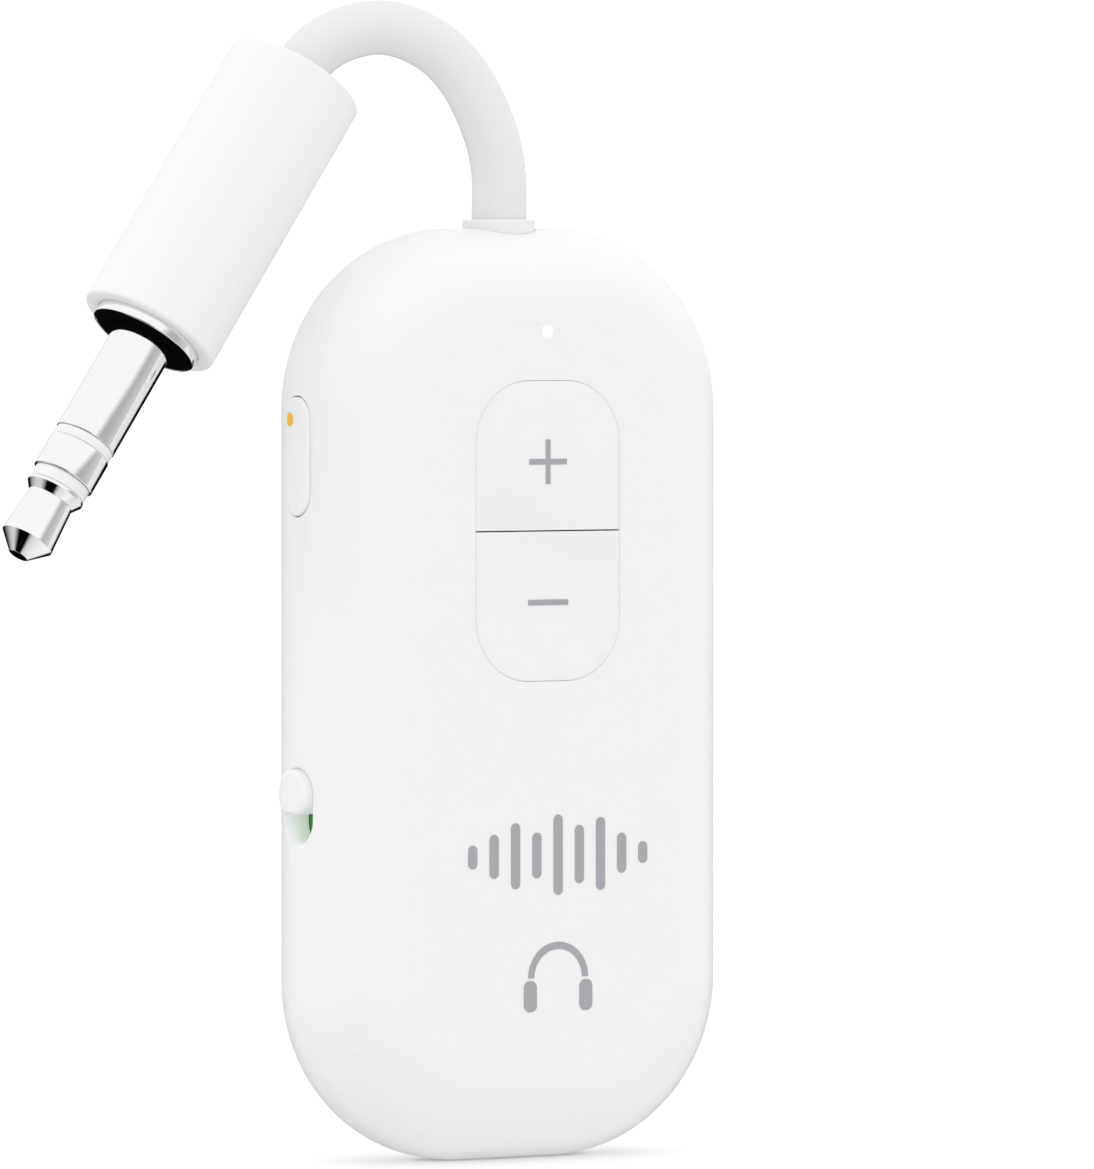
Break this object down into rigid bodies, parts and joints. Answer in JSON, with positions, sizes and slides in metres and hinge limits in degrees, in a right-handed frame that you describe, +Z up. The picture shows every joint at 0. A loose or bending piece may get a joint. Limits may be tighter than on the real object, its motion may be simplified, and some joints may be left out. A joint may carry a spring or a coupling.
{
  "type": "bluetooth audio receiver",
  "caption": "Pocket wireless audio receiver: pill-shaped casing with volume keys, side button and slide switch, and a short captive cord to a 3.5 mm stereo plug.",
  "frame": {"origin": "middle of the foot of the casing, on the surface it stands on", "axes": "+Z up along the casing, -Y out of the front face with the keys, +X towards the charging socket"},
  "size_m": [0.0424, 0.0123, 0.0634],
  "materials": {
    "white_shell": "satin white moulded plastic",
    "white_key": "satin white moulded plastic",
    "soft_white": "soft satin white overmold",
    "cord_white": "soft white cord jacket",
    "lamp_window": "milky white light pipe",
    "amber_window": "amber light pipe",
    "green_label": "green printed film",
    "black_plastic": "black moulded plastic",
    "chip_black": "black moulded chip package",
    "switch_metal": "stamped steel",
    "ceramic": "pale brown ceramic",
    "board_green": "green glass-fibre board",
    "battery_foil": "aluminium laminate pouch",
    "foam": "black foam tape",
    "red_wire": "red wire insulation",
    "black_wire": "black wire insulation",
    "copper_wire": "enamelled copper strands",
    "plug_chrome": "bright nickel plate",
    "pole_white": "white insulator rings"
  },
  "bodies": {
    "root": {"front_shell": "white_shell", "back_cover": "white_shell", "cord_grommet": "soft_white", "front_light_pipe": "lamp_window", "volume_up_switch": "switch_metal", "volume_down_switch": "switch_metal", "side_switch": "black_plastic", "slide_switch_housing": "switch_metal", "circuit_board": "board_green", "bluetooth_chip": "chip_black", "audio_amplifier_chip": "chip_black", "charger_chip": "chip_black", "clock_crystal": "switch_metal", "chip_antenna": "ceramic", "side_led": "amber_window", "status_led": "lamp_window", "capacitor_1": "ceramic", "capacitor_2": "ceramic", "capacitor_3": "ceramic", "capacitor_4": "ceramic", "usb_receptacle_shell": "switch_metal", "usb_receptacle_insulator": "black_plastic", "battery_cell": "battery_foil", "battery_foam_pad": "foam", "battery_lead_positive": "red_wire", "battery_lead_negative": "black_wire", "cord": "cord_white", "audio_lead_left": "copper_wire", "audio_lead_right": "red_wire", "audio_lead_ground": "copper_wire", "plug_overmold": "soft_white", "plug_collar": "plug_chrome", "plug_face_disc": "black_plastic", "plug_sleeve_contact": "plug_chrome", "plug_rear_insulator": "pole_white", "plug_ring_contact": "plug_chrome", "plug_front_insulator": "pole_white", "plug_tip_contact": "plug_chrome"},
    "volume_up": {"volume_up_key": "white_key", "volume_up_plunger": "black_plastic"},
    "volume_down": {"volume_down_key": "white_key", "volume_down_plunger": "black_plastic"},
    "side_press": {"side_button": "white_key", "side_button_light_pipe": "amber_window", "side_switch_plunger": "black_plastic"},
    "power_slide": {"slide_switch_knob": "white_key", "slide_switch_label": "green_label", "slide_switch_lever": "black_plastic"}
  },
  "joints": [
    {"name": "volume_up_press", "type": "slide", "parent": "root", "child": "volume_up", "axis": [0, 1, 0], "range_m": [0, 0.00025], "stiffness_N_per_m": 2500},
    {"name": "volume_down_press", "type": "slide", "parent": "root", "child": "volume_down", "axis": [0, 1, 0], "range_m": [0, 0.00025], "stiffness_N_per_m": 2500},
    {"name": "side_button_press", "type": "slide", "parent": "root", "child": "side_press", "axis": [1, 0, 0], "range_m": [0, 0.00025], "stiffness_N_per_m": 2500},
    {"name": "power_slide", "type": "slide", "parent": "root", "child": "power_slide", "axis": [0, 0, -1], "range_m": [0, 0.0014]}
  ]
}
